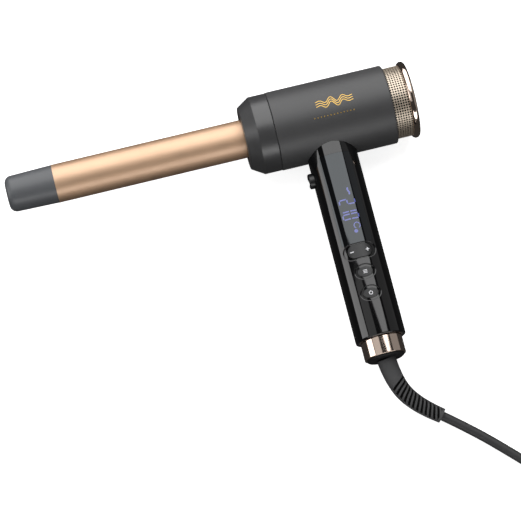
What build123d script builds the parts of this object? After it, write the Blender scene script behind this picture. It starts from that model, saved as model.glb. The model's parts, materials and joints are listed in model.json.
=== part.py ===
from build123d import *
from math import cos, pi, radians, sin, tan
import os

# Curling wand with a pistol handle, lying on its side with its controls facing up.
#
# Each piece of the wand is drawn in the wand's own frame: the barrel's axis is X, with the tip
# towards -X, the handle runs along -Y from X = 0, and +Z is the side with the display.
# REST then turns the wand about X until the handle's end rests on the table, and sets the
# origin under the middle of the wand. The cord is drawn straight on the table.
# All sizes are in millimetres.

# barrel and cool tip, as distances along X from the handle's axis
TIP_END = -267.3
TIP_JOINT = -226.8
BARREL_INNER_END = -50.0
BARREL_RADIUS = 16.0
BARREL_WALL = 1.5
BARREL_NECK_RADIUS = 15.5
BARREL_NECK_START = -67.6
TIP_ROOT_RADIUS = 15.9
TIP_END_RADIUS = 15.1
TIP_ROUND = 6.0
HEATER_START = -212.0
HEATER_END = -84.0
SPREADER_RADIUS = 14.3
SPREADER_WALL = 1.8
HEATER_THICK = 2.0

# housing
NOSE_FRONT = -67.1
NOSE_SHOULDER = -56.5
NOSE_FACE_RADIUS = 26.0
NOSE_RADIUS = 32.6
NOSE_BORE_RADIUS = 16.5
SEAM = -42.0
SEAM_GAP = 0.3
HOUSING_REAR = 56.4
HOUSING_RADIUS = 33.0
HOUSING_WALL = 2.4
SLEEVE_RADIUS = 29.7
SLEEVE_WALL = 0.8
SLEEVE_START = 46.0
SLEEVE_END = 70.6
LIP_RADIUS = 32.3
LIP_FRONT = 69.8
LIP_REAR = 75.6
LIP_BORE_RADIUS = 26.2

# handle, as distances down from the barrel's axis
HANDLE_RADIUS = 20.7
HANDLE_WALL = 2.2
HANDLE_TOP = 25.0
HANDLE_END = 191.7
HANDLE_GAP = 0.2
COLLAR_RADIUS = 17.1
COLLAR_WALL = 1.6
COLLAR_END = 206.7
GLAND_END = 208.6
WINDOW_TOP = 36.0
WINDOW_END = 113.7
WINDOW_HALF_ANGLE = 38.0
WINDOW_THICK = 1.5

# controls
ROCKER_AT = 120.6
MODE_AT = 138.5
POWER_AT = 156.7
ROCKER_SIZE = (19.6, 10.8)
BUTTON_SIZE = (12.4, 7.9)
ROCKER_DISH = (25.6, 12.8)
BUTTON_DISH = (15.8, 12.0)
DISH_DEPTH = 0.8
RIM_ROUND = 0.65
BUTTON_GAP = 0.25
ROCKER_GAP = 0.45
CAP_RADIUS = 20.6
PIN_RADIUS = 1.0
PIN_HEIGHT = 15.2
PIN_CLEARANCE = 0.05
TRIGGER_AT = 49.2
TRIGGER_RADIUS = 6.4
TRIGGER_FACE = 24.4
TRIGGER_TRAVEL = 1.5
BUTTON_TRAVEL = 0.8

# inside the handle, as heights along Z
CARRIER_TOP = 7.6
BOARD_TOP = 9.2
SWITCH_BODY_TOP = 12.7
SWITCH_TOP = 14.0
ROCKER_LIFT = 0.55

# lying down
ROLL = 3.7
X_MIDDLE = (TIP_END + LIP_REAR) / 2
Y_MIDDLE = -88.0

# cord
CORD_DIAMETER = 7.6
RELIEF_ROOT_RADIUS = 7.9
RELIEF_END_RADIUS = 6.1
RELIEF_LINE = [
    (97.3, -130.6, 17.5),
    (99.6, -139.8, 15.5),
    (103.5, -148.8, 13.1),
    (110.2, -157.6, 10.6),
    (119.0, -165.8, 8.1),
    (128.7, -173.4, 6.5),
]
LEAD_ROUTE = [
    (128.7, -173.4, 6.5),
    (150.3, -191.2, 4.6),
    (174.0, -215.0, 3.8),
    (197.5, -240.0, 3.9),
    (220.2, -261.4, 3.8),
]
COIL_CENTRE = (260.5, -221.1)
COIL_RADIUS = 6 * CORD_DIAMETER
COIL_COLUMNS = 4
COIL_LAYERS = 2
END_ROUTE = [
    (317.5, -221.1, 11.4),
    (317.1, -204.0, 11.6),
    (318.4, -187.0, 12.8),
]
PLUG_AT = (318.4, -187.0, 12.8)
PLUG_RELIEF_LENGTH = 24.0
PLUG_LENGTH = 38.0
PLUG_WIDTH = 35.0
PLUG_HEIGHT = 25.6
PIN_SPACING = 19.0
PLUG_PIN_RADIUS = 2.4
PLUG_PIN_LENGTH = 19.0


def turned(points, rounds=()):
    """A solid turned about X from (distance, radius) points, with (point number, radius) rounds."""
    face = make_face(Polyline(*points, close=True))
    for number, radius in rounds:
        corner = face.vertices().sort_by_distance((*points[number], 0))[0]
        face = fillet(corner, radius)
    return revolve(face, Axis.X)


def along_x(start, end, radius, y=0, z=0):
    """A round bar along X."""
    return Pos((start + end) / 2, y, z) * Rot(0, 90, 0) * Cylinder(radius, end - start)


def down_handle(start, end, radius, x=0, z=0):
    """A round bar along the handle, between two distances from the barrel's axis."""
    return Pos(x, -(start + end) / 2, z) * Rot(90, 0, 0) * Cylinder(radius, end - start)


def block(x, down, z):
    """A box between two X values, two distances down the handle and two heights."""
    centre = Pos((x[0] + x[1]) / 2, -(down[0] + down[1]) / 2, (z[0] + z[1]) / 2)
    return centre * Box(x[1] - x[0], down[1] - down[0], z[1] - z[0])


def to_handle(shape):
    """Turns a shape made along +X so that it runs down the handle."""
    return Rot(0, 0, -90) * shape


def oval(size, down, low, high, grow=0.0):
    """An upright prism of an oval button's outline."""
    outline = Ellipse(size[0] / 2 + grow, size[1] / 2 + grow)
    return Pos(0, -down, low) * extrude(outline, high - low)


def lozenge(size, down, low, high, grow=0.0):
    """An upright prism of the rocker's outline, with round ends."""
    outline = SlotOverall(size[0] + 2 * grow, size[1] + 2 * grow)
    return Pos(0, -down, low) * extrude(outline, high - low)


def sector(inner, outer, start, end, half_angle):
    """A curved panel on the display side of the handle, between two radii."""
    reach = 2 * outer
    side = reach * tan(radians(half_angle))
    wedge = Polyline((0, 0), (side, reach), (-side, reach), close=True)
    prism = Pos(0, -end, 0) * extrude(Plane.XZ * make_face(wedge), -(end - start))
    return prism & (down_handle(start, end, outer) - down_handle(start, end, inner))


def screws(places, length, head_radius, shank_radius, direction):
    """Pan-head screws as one group: each is a head on a shank that runs along direction."""
    group = []
    for place in places:
        plane = Plane(origin=place, z_dir=direction)
        shank = extrude(plane * Circle(shank_radius), length)
        head = extrude(plane * Circle(head_radius), -1.6)
        group.append(shank + head)
    return Compound(children=group)


# ---- barrel ----

def cool_tip():
    points = [
        (TIP_JOINT + 10, 12.4), (TIP_JOINT + 10, 14.4), (TIP_JOINT, 14.4), (TIP_JOINT, TIP_ROOT_RADIUS),
        (TIP_END + TIP_ROUND, TIP_END_RADIUS), (TIP_END, TIP_END_RADIUS), (TIP_END, 0),
        (TIP_END + 3, 0), (TIP_END + 3, 11.0), (TIP_END + 8, 12.4),
    ]
    return turned(points, [(5, TIP_ROUND - 0.1)])


def barrel_tube():
    """Drawn tube, turned down to a neck where it enters the nose ring."""
    outer = along_x(TIP_JOINT, BARREL_NECK_START, BARREL_RADIUS)
    outer += along_x(BARREL_NECK_START, BARREL_INNER_END, BARREL_NECK_RADIUS)
    return outer - along_x(TIP_JOINT, BARREL_INNER_END, BARREL_RADIUS - BARREL_WALL)


def spreader(side):
    """One half-round aluminium bar that carries the heater's warmth to the barrel."""
    low = HEATER_THICK / 2
    middle = (HEATER_START + HEATER_END) / 2
    length = HEATER_END - HEATER_START
    half = along_x(HEATER_START, HEATER_END, SPREADER_RADIUS)
    half &= Pos(middle, 0, low + 10) * Box(length, 40, 20)
    hollow = along_x(HEATER_START, HEATER_END, SPREADER_RADIUS - SPREADER_WALL)
    hollow &= Pos(middle, 0, low + SPREADER_WALL + 10) * Box(length, 40, 20)
    half -= hollow
    return half if side > 0 else Rot(180, 0, 0) * half


def heater_plate():
    middle = (HEATER_START + HEATER_END) / 2
    return Pos(middle, 0, 0) * Box(HEATER_END - HEATER_START - 10, 20, HEATER_THICK)


def thermistor():
    height = HEATER_THICK / 2 + SPREADER_WALL + 2.0
    return along_x(-150, -142, 2.0, 0, height) + along_x(-142, HEATER_END - 2, 0.8, 0, height)


def thermal_fuse():
    height = HEATER_THICK / 2 + SPREADER_WALL + 2.1
    return along_x(-120, -106, 2.1, 0, -height) + along_x(-106, HEATER_END - 2, 0.8, 0, -height)


MOUNT_SCREW_PLACES = [(22.5 * cos(radians(a)), 22.5 * sin(radians(a))) for a in (90, 210, 330)]


def barrel_mount():
    """Heat-resistant bush between the barrel and the chassis."""
    bore = BARREL_NECK_RADIUS
    bush = turned([(-60, bore), (-60, 19), (-53, 19), (-53, 27.5), (-46, 27.5), (-46, bore)])
    for y, z in MOUNT_SCREW_PLACES:
        bush -= along_x(-60, -46, 1.6, y, z)
    return bush


def mount_screws():
    places = [(-53, y, z) for y, z in MOUNT_SCREW_PLACES]
    return screws(places, 11, 2.8, 1.5, (1, 0, 0))


# ---- housing ----

def nose_ring():
    points = [
        (NOSE_FRONT, NOSE_BORE_RADIUS), (NOSE_FRONT, NOSE_FACE_RADIUS), (NOSE_SHOULDER, NOSE_RADIUS),
        (SEAM - SEAM_GAP, NOSE_RADIUS), (SEAM - SEAM_GAP, 30.2), (NOSE_SHOULDER + 1, 30.2),
        (NOSE_FRONT + 2.6, 24.4), (NOSE_FRONT + 2.6, NOSE_BORE_RADIUS),
    ]
    return turned(points, [(1, 0.8), (2, 0.9), (3, 0.5)])


def housing_shell():
    inner = HOUSING_RADIUS - HOUSING_WALL
    mouth = SLEEVE_RADIUS + 0.1
    points = [
        (SEAM, inner), (SEAM, HOUSING_RADIUS), (HOUSING_REAR, HOUSING_RADIUS),
        (HOUSING_REAR, mouth), (HOUSING_REAR - 4, mouth), (HOUSING_REAR - 4, inner),
    ]
    shell = turned(points, [(1, 0.5), (2, 1.5)])
    return shell - down_handle(0, 40, HANDLE_RADIUS + HANDLE_GAP)


def inner_chassis():
    front = along_x(-46, -42.5, 30.0) - along_x(-46, -42.5, 17.0)
    rear = along_x(42, SLEEVE_START, 30.0) - along_x(42, SLEEVE_START, 22.0)
    frame = front + rear
    for z in (-20, 20):
        frame += Pos(0, 17, z) * Box(88, 5, 5)
    for y, z in MOUNT_SCREW_PLACES:
        frame -= along_x(-46, -42.5, 1.5, y, z)
    return frame


def grille_sleeve():
    outer = along_x(SLEEVE_START, SLEEVE_END, SLEEVE_RADIUS)
    return outer - along_x(SLEEVE_START, SLEEVE_END, SLEEVE_RADIUS - SLEEVE_WALL)


def flange_ring():
    """Polished lip: an oval bead around a flat ring, over the sleeve's rear end."""
    middle = (LIP_FRONT + LIP_REAR) / 2
    bead = Ellipse((LIP_REAR - LIP_FRONT) / 2, LIP_RADIUS - SLEEVE_RADIUS)
    ring = Pos(middle, (SLEEVE_RADIUS + LIP_BORE_RADIUS) / 2)
    ring *= Rectangle(LIP_REAR - LIP_FRONT, SLEEVE_RADIUS - LIP_BORE_RADIUS)
    lip = revolve(Pos(middle, SLEEVE_RADIUS) * bead + ring, Axis.X)
    return lip - along_x(LIP_FRONT - 1, SLEEVE_END, SLEEVE_RADIUS)


def rear_cover():
    """Recessed end cap with a ring of air slots."""
    points = [
        (66.0, 0), (66.0, 20), (64.0, LIP_BORE_RADIUS - 2), (64.0, LIP_BORE_RADIUS),
        (73.0, LIP_BORE_RADIUS), (73.0, LIP_BORE_RADIUS - 1.8), (69.4, 22.0), (68.4, 12.0), (68.4, 0),
    ]
    cap = turned(points, [(5, 0.5)])
    slot = Pos(67.0, 0, 16.6) * Box(12, 2.2, 6.5)
    for step in range(18):
        cap -= Rot(20 * step, 0, 0) * slot
    return cap


def heater_wires():
    """Two insulated wires from the board up to the heater, bent once at the handle."""
    pair = []
    for z in (-3.4, 3.4):
        path = FilletPolyline((HEATER_END + 1, 3, z), (-6 + z, 3, z), (-6 + z, -36, z), radius=12)
        section = Plane(origin=path @ 0, z_dir=path % 0) * Circle(1.3)
        pair.append(sweep(section, path))
    return Compound(children=pair)


# ---- handle ----

def handle_shell():
    inner = HANDLE_RADIUS - HANDLE_WALL
    outline = [
        (HANDLE_TOP, inner), (HANDLE_TOP, HANDLE_RADIUS), (HANDLE_END, HANDLE_RADIUS), (HANDLE_END, inner),
    ]
    shell = to_handle(turned(outline, [(2, 1.2)]))
    shell += rocker_ears()
    shell -= sector(0, HANDLE_RADIUS + 1, WINDOW_TOP, WINDOW_END, WINDOW_HALF_ANGLE)
    rim = down_handle(100, 180, HANDLE_RADIUS + 1) - down_handle(100, 180, HANDLE_RADIUS - DISH_DEPTH)
    shell -= rim & lozenge(ROCKER_DISH, ROCKER_AT, 10, 22)
    shell -= lozenge(ROCKER_SIZE, ROCKER_AT, 13, 22, ROCKER_GAP)
    for at in (MODE_AT, POWER_AT):
        shell -= rim & oval(BUTTON_DISH, at, 10, 22)
        shell -= oval(BUTTON_SIZE, at, 10, 22, BUTTON_GAP)
    shell -= Pos(-TRIGGER_FACE / 2 - 5, -TRIGGER_AT, 0) * Rot(0, 90, 0) * Cylinder(
        TRIGGER_RADIUS + BUTTON_GAP, TRIGGER_FACE
    )
    for at, dish in ((ROCKER_AT, ROCKER_DISH), (MODE_AT, BUTTON_DISH), (POWER_AT, BUTTON_DISH)):
        shell = fillet(dish_rim(shell, at, dish), RIM_ROUND)
    return shell


def dish_rim(shell, at, dish):
    """The edges where a dish meets the outside of the handle."""
    rim = []
    for edge in shell.edges():
        middle = edge.position_at(0.5)
        on_outside = abs(Vector(middle.X, 0, middle.Z).length - HANDLE_RADIUS) < 0.06 and middle.Z > 10
        if on_outside and abs(middle.X) < dish[0] / 2 + 0.3 and abs(middle.Y + at) < dish[1] / 2 + 0.12:
            rim.append(edge)
    return rim


def rocker_ears():
    """Two lugs under the shell that hold the rocker's pin."""
    lugs = []
    for side in (-1, 1):
        at = ROCKER_AT + side * 7.4
        lug = block((-2.4, 2.4), (at - 1.2, at + 1.2), (PIN_HEIGHT - 2.2, HANDLE_RADIUS - 1.6))
        lugs.append(lug - down_handle(at - 2, at + 2, PIN_RADIUS, 0, PIN_HEIGHT))
    return lugs


def display_window():
    return sector(
        HANDLE_RADIUS - WINDOW_THICK, HANDLE_RADIUS, WINDOW_TOP + 0.12, WINDOW_END - 0.12,
        WINDOW_HALF_ANGLE - 0.3,
    )


BOARD_SCREW_PLACES = [(-9.5, 64), (9.5, 64), (-9.5, 172), (9.5, 172)]


def board_carrier():
    """Tray that holds the board on one face and the mains parts on the other."""
    tray = block((-13, 13), (42, 176), (5.0, CARRIER_TOP))
    for at in (72, 92, 112):
        tray -= block((-8, 8), (at, at + 12), (5.0, CARRIER_TOP))
    tray -= block((-13, -11.5), (42, 57), (5.0, CARRIER_TOP))
    for x, down in BOARD_SCREW_PLACES:
        tray -= Pos(x, -down, 6) * Cylinder(0.9, 8)
    return tray


def control_board():
    board = block((-12, 12), (58, 175), (CARRIER_TOP, BOARD_TOP))
    for x, down in BOARD_SCREW_PLACES:
        board -= Pos(x, -down, 8) * Cylinder(1.1, 6)
    return board


def board_screws():
    places = [(x, -down, BOARD_TOP) for x, down in BOARD_SCREW_PLACES]
    return screws(places, 4.0, 1.9, 0.9, (0, 0, -1))


def tact_switches():
    """Four push switches on the board: two under the rocker and one under each button."""
    group = []
    for x, down in ((-6.2, ROCKER_AT), (6.2, ROCKER_AT), (0, MODE_AT), (0, POWER_AT)):
        body = block((x - 3, x + 3), (down - 3, down + 3), (BOARD_TOP, SWITCH_BODY_TOP))
        height = SWITCH_TOP - SWITCH_BODY_TOP
        group.append(body + Pos(x, -down, SWITCH_BODY_TOP + height / 2) * Cylinder(1.7, height))
    return Compound(children=group)


def display_module():
    return block((-8.2, 8.2), (66, 108), (BOARD_TOP, 16.2))


def power_capacitor():
    return block((-8.5, 8.5), (146, 170), (-7, 5.0))


def switching_triac():
    tab = block((-5, 5), (122, 138), (3.6, 5.0))
    return tab + block((-5, 5), (122, 131), (0.4, 3.6))


def rocker_button():
    """Rocker cap with a bored lug for its pin and a post over each switch."""
    cap = lozenge(ROCKER_SIZE, ROCKER_AT, 10, 22)
    cap &= down_handle(100, 140, CAP_RADIUS) - down_handle(100, 140, CAP_RADIUS - 1.9)
    lug = block((-2.2, 2.2), (ROCKER_AT - 4.5, ROCKER_AT + 4.5), (PIN_HEIGHT - 1.9, CAP_RADIUS - 1.5))
    cap += lug
    for x in (-6.2, 6.2):
        low = SWITCH_TOP + ROCKER_LIFT
        cap += Pos(x, -ROCKER_AT, (low + 18.6) / 2) * Cylinder(1.3, 18.6 - low)
    bore = PIN_RADIUS + PIN_CLEARANCE
    reach = ROCKER_SIZE[1]
    return cap - down_handle(ROCKER_AT - reach, ROCKER_AT + reach, bore, 0, PIN_HEIGHT)


def rocker_pin():
    return down_handle(ROCKER_AT - 8.6, ROCKER_AT + 8.6, PIN_RADIUS, 0, PIN_HEIGHT)


def push_button(at):
    """Oval cap with a retaining flange inside the shell and a stem over its switch."""
    cap = oval(BUTTON_SIZE, at, 10, 22)
    cap &= down_handle(at - 10, at + 10, CAP_RADIUS) - down_handle(at - 10, at + 10, 17.0)
    cap += oval(BUTTON_SIZE, at, 15.6, 17.6, -0.6)
    cap += oval(BUTTON_SIZE, at, 15.3, 16.4, 1.0)
    low = SWITCH_TOP + BUTTON_TRAVEL + 0.1
    return cap + Pos(0, -at, (low + 16) / 2) * Cylinder(1.6, 16 - low)


def trigger_button():
    """Round push button with a finger groove across its face."""
    flange_radius = TRIGGER_RADIUS + 1
    stem_end = -10.1 - TRIGGER_TRAVEL
    points = [
        (-TRIGGER_FACE, 0), (-TRIGGER_FACE, TRIGGER_RADIUS), (-16.2, TRIGGER_RADIUS), (-16.2, flange_radius),
        (-14.9, flange_radius), (-14.9, 1.8), (stem_end, 1.8), (stem_end, 0),
    ]
    button = turned(points, [(1, 1.6)])
    button -= Pos(-TRIGGER_FACE - 6.1, 0, 0) * Cylinder(7.0, 20)
    return Pos(0, -TRIGGER_AT, 0) * button


def trigger_switch():
    body = block((-9, -3), (TRIGGER_AT - 6, TRIGGER_AT + 6), (-4, 5))
    return body + along_x(-9.9, -9, 1.6, -TRIGGER_AT, 0)


def handle_end_collar():
    inner = COLLAR_RADIUS - COLLAR_WALL
    points = [
        (HANDLE_END - 8, inner), (HANDLE_END - 8, 18.4), (HANDLE_END - 0.4, 18.4),
        (HANDLE_END - 0.4, COLLAR_RADIUS), (COLLAR_END, COLLAR_RADIUS), (COLLAR_END, inner),
    ]
    return to_handle(turned(points, [(4, 0.6)]))


def cord_gland():
    outer = COLLAR_RADIUS - COLLAR_WALL
    bore = CORD_DIAMETER / 2 + 0.1
    points = [(HANDLE_END - 6, bore), (HANDLE_END - 6, outer), (GLAND_END, outer), (GLAND_END, bore)]
    return to_handle(turned(points, [(2, 1.8)]))


def cord_tail():
    return down_handle(178, GLAND_END, CORD_DIAMETER / 2)


def cord_clamp():
    """Bar that pinches the cord against the gland's bridge, with two screws."""
    bar = block((-11, 11), (179, 185), (3.0, 6.5)) + block((-11, 11), (179, 185), (-6.5, -3.0))
    bar += block((-11, -6), (179, 185), (-3.0, 3.0)) + block((6, 11), (179, 185), (-3.0, 3.0))
    bar -= down_handle(178, 186, CORD_DIAMETER / 2)
    for x in (-8.5, 8.5):
        bar -= Pos(x, -182, 2) * Cylinder(1.1, 10)
    return bar


def clamp_screws():
    return screws([(x, -182, 6.5) for x in (-8.5, 8.5)], 9, 2.2, 1.1, (0, 0, -1))


# ---- cord, drawn straight on the table ----

def corner_radii(points):
    """For each corner, 0.45 of the shorter run divided by the tangent of half the turn."""
    radii = []
    for before, at, after in zip(points, points[1:], points[2:]):
        run_in = Vector(*at) - Vector(*before)
        run_out = Vector(*after) - Vector(*at)
        turn = run_in.get_angle(run_out)
        radii.append(0.45 * min(run_in.length, run_out.length) / tan(radians(turn / 2)))
    return radii


def cord_tube(name, points):
    radii = corner_radii(points)
    path = FilletPolyline(*points, radius=radii)
    section = Plane(origin=path @ 0, z_dir=path % 0) * Circle(CORD_DIAMETER / 2)
    tube = sweep(section, path)
    expected = path.length * pi * CORD_DIAMETER**2 / 4
    print(name, "radii", [round(r) for r in radii], "length", round(path.length, 1),
          "volume share", round(tube.volume / expected, 4))
    return tube


def strain_relief():
    """Tapered guard, lofted through circles along its sagging line."""
    root = place_point((0, -GLAND_END, 0))
    line = [root] + [Vector(*point) for point in RELIEF_LINE]
    spine = Spline(*line, tangents=[place_direction((0, -1, 0)), Vector(0.78, -0.62, -0.08)])
    rings = []
    steps = 8
    for step in range(steps + 1):
        share = step / steps
        radius = RELIEF_ROOT_RADIUS + (RELIEF_END_RADIUS - RELIEF_ROOT_RADIUS) * share
        rings.append(Plane(origin=spine @ share, z_dir=spine % share) * Circle(radius))
    return loft(rings)


def cord_coil():
    """Outer shape of the wound turns."""
    width = COIL_COLUMNS * CORD_DIAMETER
    height = COIL_LAYERS * CORD_DIAMETER
    section = Pos(COIL_RADIUS, height / 2) * RectangleRounded(width, height, CORD_DIAMETER * 0.45)
    ring = revolve(Plane.XZ * section, Axis.Z)
    return Pos(*COIL_CENTRE, 0) * ring


def cord_tie():
    """Strap around the coil's turns."""
    width = COIL_COLUMNS * CORD_DIAMETER
    height = COIL_LAYERS * CORD_DIAMETER
    outer = Pos(COIL_RADIUS, 0, height / 2 + 0.4) * Box(width + 1.6, 11, height + 0.8)
    inner = Pos(COIL_RADIUS, 0, height / 2 + 0.4) * Box(width - 0.2, 12, height - 0.8)
    strap = fillet(outer.edges().filter_by(Axis.Y), 3.0) - fillet(inner.edges().filter_by(Axis.Y), 2.4)
    return Pos(*COIL_CENTRE, 0) * Rot(0, 0, 60) * strap


def at_plug(shape):
    """Places a shape made along +X so that it points away from the cord's end, along +Y."""
    return Pos(*PLUG_AT) * Rot(0, 0, 90) * shape


def plug_relief():
    root_radius = CORD_DIAMETER / 2 + 1.2
    cone = [(0, 0), (0, root_radius), (PLUG_RELIEF_LENGTH, 7.0), (PLUG_RELIEF_LENGTH, 0)]
    return at_plug(turned(cone))


def plug_body():
    """Flat two-pin plug body, waisted behind its face for a finger hold."""
    start = PLUG_RELIEF_LENGTH
    waist = [(0, 15.5, 15.5), (9, 22, 19), (22, 30, 22), (PLUG_LENGTH, PLUG_WIDTH, PLUG_HEIGHT)]
    rings = []
    for along, width, height in waist:
        plane = Plane(origin=(start + along, 0, 0), x_dir=(0, 1, 0), z_dir=(1, 0, 0))
        rings.append(plane * RectangleRounded(width, height, 0.45 * min(width, height)))
    return at_plug(loft(rings))


def plug_pins():
    pins = []
    for side in (-0.5, 0.5):
        start = PLUG_RELIEF_LENGTH + PLUG_LENGTH
        pin = along_x(start, start + PLUG_PIN_LENGTH, PLUG_PIN_RADIUS, side * PIN_SPACING, 0)
        pin = fillet(pin.edges().sort_by(Axis.X)[-1], 1.2)
        pins.append(at_plug(pin))
    return Compound(children=pins)


# ---- placing and writing ----

REST = Pos(-X_MIDDLE, -Y_MIDDLE, HOUSING_RADIUS) * Rot(ROLL, 0, 0)


def place_point(point):
    """A point of the wand's frame, where it is once the wand lies down."""
    return (REST * Pos(*point)).position


def place_direction(direction):
    x, y, z = direction
    turn = radians(ROLL)
    return Vector(x, y * cos(turn) - z * sin(turn), y * sin(turn) + z * cos(turn))


def wand_pieces():
    return {
        "cool_tip": cool_tip(),
        "barrel_tube": barrel_tube(),
        "heater_plate": heater_plate(),
        "spreader_upper": spreader(1),
        "spreader_lower": spreader(-1),
        "thermistor": thermistor(),
        "thermal_fuse": thermal_fuse(),
        "barrel_mount": barrel_mount(),
        "mount_screws": mount_screws(),
        "nose_ring": nose_ring(),
        "housing_shell": housing_shell(),
        "inner_chassis": inner_chassis(),
        "grille_sleeve": grille_sleeve(),
        "flange_ring": flange_ring(),
        "rear_cover": rear_cover(),
        "heater_wires": heater_wires(),
        "handle_shell": handle_shell(),
        "display_window": display_window(),
        "board_carrier": board_carrier(),
        "control_board": control_board(),
        "board_screws": board_screws(),
        "tact_switches": tact_switches(),
        "display_module": display_module(),
        "power_capacitor": power_capacitor(),
        "switching_triac": switching_triac(),
        "rocker_button": rocker_button(),
        "rocker_pin": rocker_pin(),
        "mode_button": push_button(MODE_AT),
        "power_button": push_button(POWER_AT),
        "trigger_button": trigger_button(),
        "trigger_switch": trigger_switch(),
        "handle_end_collar": handle_end_collar(),
        "cord_gland": cord_gland(),
        "cord_tail": cord_tail(),
        "cord_clamp": cord_clamp(),
        "clamp_screws": clamp_screws(),
    }


def cord_pieces():
    return {
        "strain_relief": strain_relief(),
        "cord_lead": cord_tube("cord_lead", LEAD_ROUTE),
        "cord_coil": cord_coil(),
        "cord_tie": cord_tie(),
        "cord_end": cord_tube("cord_end", END_ROUTE),
        "plug_relief": plug_relief(),
        "plug_body": plug_body(),
        "plug_pins": plug_pins(),
    }


os.makedirs("parts", exist_ok=True)
for node, shape in wand_pieces().items():
    export_step(REST * shape, f"parts/{node}.step")
for node, shape in cord_pieces().items():
    export_step(shape, f"parts/{node}.step")
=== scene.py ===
"""Curling wand with a pistol handle, lying on a pale floor with its cord wound up beside it.

Laid out as a Blender add-on: settings in property groups, one operator for each piece or group
of like pieces, one panel. Lengths are in metres. Pieces of the wand are modelled in the wand's
own frame, where the barrel's axis is X with the tip towards -X, the handle runs along -Y from
X = 0, and +Z is the side with the display; place_on_wand() then lays them down with the rest.
"""

import json
import math
from math import cos, pi, radians, sin

import bmesh
import bpy
from bpy.props import FloatProperty, FloatVectorProperty, IntProperty, PointerProperty
from mathutils import Matrix, Vector


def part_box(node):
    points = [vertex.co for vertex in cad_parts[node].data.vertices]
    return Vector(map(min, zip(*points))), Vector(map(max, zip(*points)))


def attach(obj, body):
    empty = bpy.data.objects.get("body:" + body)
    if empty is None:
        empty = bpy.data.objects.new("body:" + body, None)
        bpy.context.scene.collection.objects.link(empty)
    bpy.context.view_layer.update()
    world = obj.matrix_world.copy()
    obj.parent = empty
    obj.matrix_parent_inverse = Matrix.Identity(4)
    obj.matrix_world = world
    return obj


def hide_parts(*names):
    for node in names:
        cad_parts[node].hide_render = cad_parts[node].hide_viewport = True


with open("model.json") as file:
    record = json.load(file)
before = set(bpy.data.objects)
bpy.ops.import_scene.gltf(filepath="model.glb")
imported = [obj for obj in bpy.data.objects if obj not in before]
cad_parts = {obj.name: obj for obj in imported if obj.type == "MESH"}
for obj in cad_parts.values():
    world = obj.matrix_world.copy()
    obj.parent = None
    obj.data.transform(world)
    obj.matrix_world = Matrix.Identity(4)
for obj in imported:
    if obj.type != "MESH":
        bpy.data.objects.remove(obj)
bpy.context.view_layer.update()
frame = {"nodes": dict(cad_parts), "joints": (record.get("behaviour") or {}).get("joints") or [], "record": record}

bl_info = {
    "name": "Curling wand",
    "version": (1, 0, 0),
    "blender": (4, 5, 0),
    "location": "3D View > Sidebar > Curling Wand",
    "description": "Builds the finishes, trim and cord of a curling wand around its packed parts",
    "category": "Object",
}

MM = 0.001


# ---- where things are, from the frame ----

def joint(name):
    return next(j for j in frame["joints"] if j["name"] == name)


def wand_matrix():
    """The wand's own frame as it lies: built from the rocker's hinge line and the barrel's box."""
    down = Vector(joint("rocker_tilt")["axis"])
    low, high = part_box("barrel_tube")
    middle = (low + high) / 2
    origin = Vector((joint("rocker_tilt")["pos_m"][0], middle.y, middle.z))
    across = Vector((1, 0, 0))
    matrix = Matrix((across, -down, across.cross(-down))).transposed().to_4x4()
    matrix.translation = origin
    return matrix


WAND = wand_matrix()


def on_wand(node):
    """A node's box in the wand's own frame, as (lowest corner, highest corner)."""
    back = WAND.inverted()
    places = [back @ vertex.co for vertex in frame["nodes"][node].data.vertices]
    low = Vector([min(place[i] for place in places) for i in range(3)])
    high = Vector([max(place[i] for place in places) for i in range(3)])
    return low, high


HOUSING_RADIUS = on_wand("housing_shell")[1].z
HANDLE_RADIUS = on_wand("display_window")[1].z
CAP_RADIUS = on_wand("rocker_button")[1].z

# The cord's route: along the table to the coil, and from the coil to the plug.
LEAD_ROUTE = [
    (0.1287, -0.1734, 0.0065),
    (0.1503, -0.1912, 0.0046),
    (0.1740, -0.2150, 0.0038),
    (0.1975, -0.2400, 0.0039),
    (0.2202, -0.2614, 0.0038),
]
END_ROUTE = [
    (0.3175, -0.2211, 0.0114),
    (0.3171, -0.2040, 0.0116),
    (0.3184, -0.1870, 0.0128),
]
RELIEF_LINE = [
    (0.0973, -0.1306, 0.0175),
    (0.0996, -0.1398, 0.0155),
    (0.1035, -0.1488, 0.0131),
    (0.1102, -0.1576, 0.0106),
    (0.1190, -0.1658, 0.0081),
    (0.1287, -0.1734, 0.0065),
]


def srgb(code):
    """A hex colour such as #d9b898 as linear red, green and blue."""
    values = [int(code[i:i + 2], 16) / 255 for i in (1, 3, 5)]
    return tuple(v / 12.92 if v <= 0.04045 else ((v + 0.055) / 1.055) ** 2.4 for v in values)


# ---- settings ----

def colour(name, description, code):
    return FloatVectorProperty(
        name=name, description=description, subtype="COLOR", size=3, min=0, max=1, default=srgb(code)
    )


def length(name, description, millimetres):
    return FloatProperty(
        name=name, description=description, unit="LENGTH", default=millimetres * MM, precision=5
    )


class WandColours(bpy.types.PropertyGroup):
    barrel: colour("Barrel", "Anodised barrel", "#d6b394")
    tip: colour("Cool tip", "Heat-resistant tip", "#56585b")
    housing: colour("Housing", "Soft-touch housing", "#363637")
    nose: colour("Nose ring", "Satin nose ring", "#383839")
    sleeve: colour("Sleeve", "Perforated sleeve", "#d3c5b3")
    plating: colour("Plating", "Polished lip and end collar", "#e8d3c4")
    handle: colour("Handle", "Piano-black handle", "#070708")
    relief: colour("Strain relief", "Moulded elastomer guard", "#464647")
    cord: colour("Cord", "Cord sheath", "#303031")
    glow: colour("Display", "Lit segments", "#6a72c8")
    marks: colour("Marks", "Printed signs on the buttons", "#e6e7ea")
    foil: colour("Foil", "Stamped ornament on the housing", "#d2ac5c")
    floor: colour("Floor", "Studio floor", "#f4f4f4")


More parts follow.
